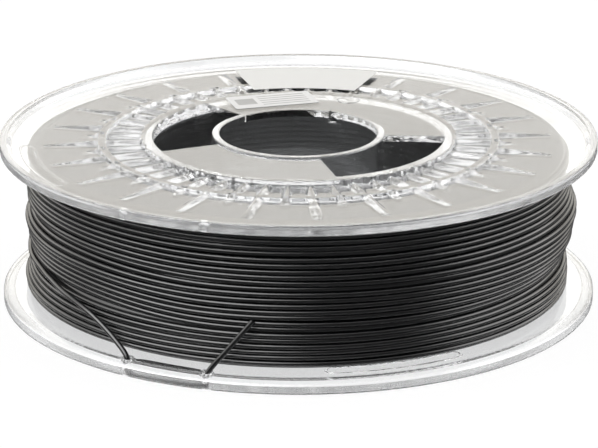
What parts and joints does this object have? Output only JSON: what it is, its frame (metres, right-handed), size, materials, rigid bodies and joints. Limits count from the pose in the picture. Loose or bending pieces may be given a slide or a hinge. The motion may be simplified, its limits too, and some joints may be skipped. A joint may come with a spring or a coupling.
{
  "type": "filament spool",
  "caption": "Clear two-part plastic spool with ribbed flanges, a windowed hub and a through bore, full of black printing filament, its end held in the rim.",
  "frame": {"origin": "on the spool's axis, in the plane that the lower rim stands on", "axes": "+Z is the axis, from the lower flange to the upper one; +Y points to the side with the large label, +X to the right of it seen from the filament's loose end"},
  "size_m": [0.2, 0.2, 0.0554],
  "materials": {
    "clear_plastic": "clear, glossy",
    "filament": "black, semi-gloss",
    "label": "white, satin"
  },
  "bodies": {
    "root": {"upper_flange": "clear_plastic", "upper_drum_wall": "clear_plastic", "upper_bore_tube": "clear_plastic", "upper_front_web": "clear_plastic", "upper_back_web": "clear_plastic", "lower_flange": "clear_plastic", "lower_drum_wall": "clear_plastic", "lower_bore_tube": "clear_plastic", "lower_front_web": "clear_plastic", "lower_back_web": "clear_plastic", "filament_core": "filament", "filament_outer_layer": "filament", "filament_end": "filament", "brand_label": "label", "data_label": "label"}
  },
  "joints": []
}
